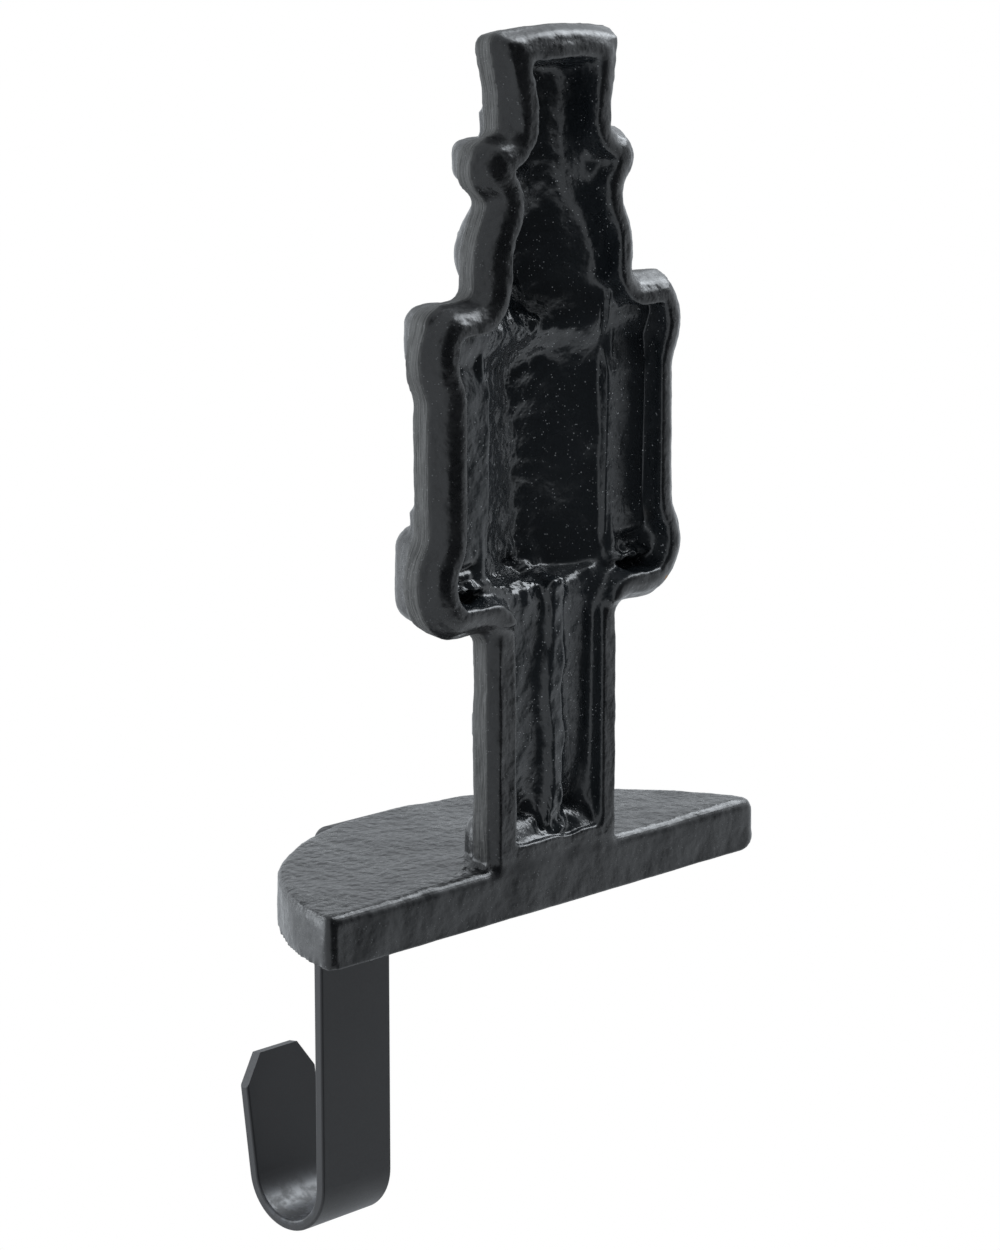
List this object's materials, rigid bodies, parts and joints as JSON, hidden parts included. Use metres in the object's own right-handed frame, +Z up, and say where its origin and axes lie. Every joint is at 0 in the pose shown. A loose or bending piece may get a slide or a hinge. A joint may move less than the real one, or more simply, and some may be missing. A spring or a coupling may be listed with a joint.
{
  "type": "mantel stocking holder",
  "caption": "Cast toy-soldier figure with a hollow back on a half-round foot plate, with a bent strap hook below it that hangs a stocking from a mantel's edge.",
  "frame": {"origin": "middle of the plate's back edge, on its underside, which rests on the mantel", "axes": "+Z up along the figure, -Y the way the figure faces and the hook hangs, X across"},
  "size_m": [0.1174, 0.0796, 0.2374],
  "materials": {
    "casting_paint": "satin black paint over a sand-cast surface",
    "strap_paint": "smooth satin black paint",
    "screw_paint": "black coated steel"
  },
  "bodies": {
    "root": {"casting": "casting_paint", "hook": "strap_paint", "hook_screws": "screw_paint"}
  },
  "joints": []
}
